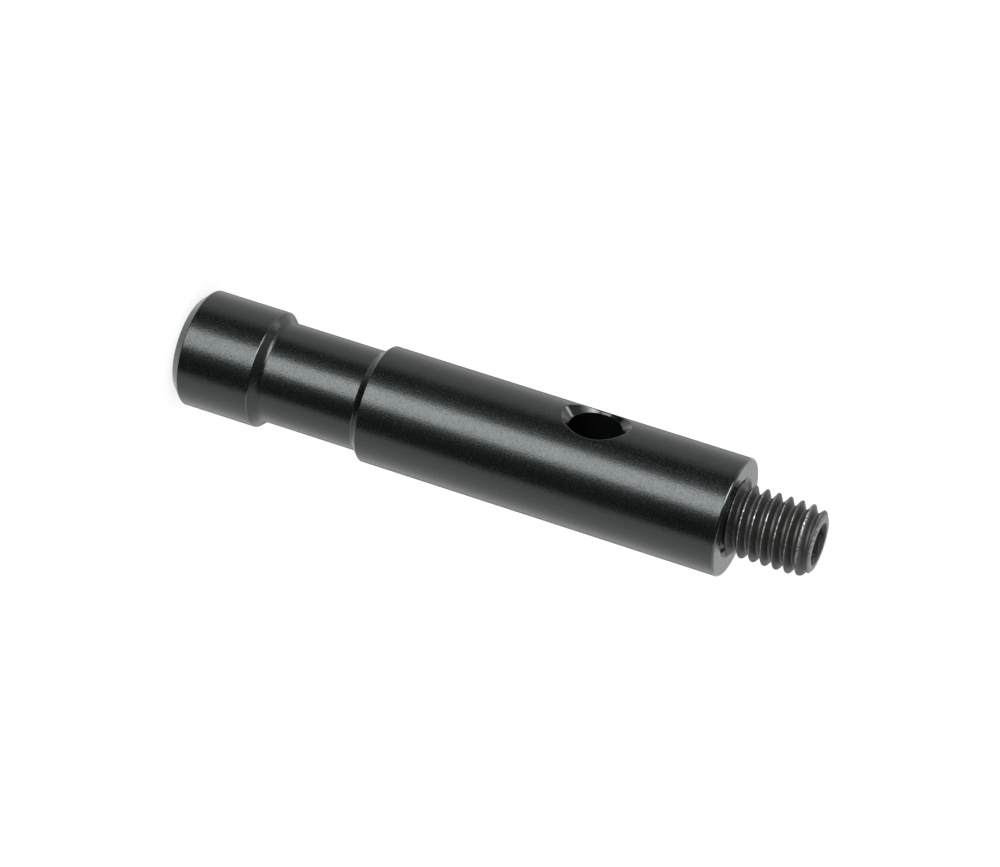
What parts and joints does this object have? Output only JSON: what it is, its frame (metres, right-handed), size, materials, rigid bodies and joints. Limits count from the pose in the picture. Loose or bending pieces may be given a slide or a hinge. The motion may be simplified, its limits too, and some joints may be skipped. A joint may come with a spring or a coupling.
{
  "type": "baby pin",
  "caption": "Short grooved round spigot with a chamfered head, a countersunk cross-hole and a threaded stud with a hexagon socket standing out of its end.",
  "frame": {"origin": "centre of the plain head end, which the pin stands on", "axes": "+Z along the pin's axis towards the threaded stud, X along the cross-hole"},
  "size_m": [0.0158, 0.0158, 0.0887],
  "materials": {
    "black_anodised": "black anodised, satin",
    "black_oxide": "black oxide, worn bright on the thread crests"
  },
  "bodies": {
    "root": {"pin_body": "black_anodised", "set_screw": "black_oxide"}
  },
  "joints": []
}
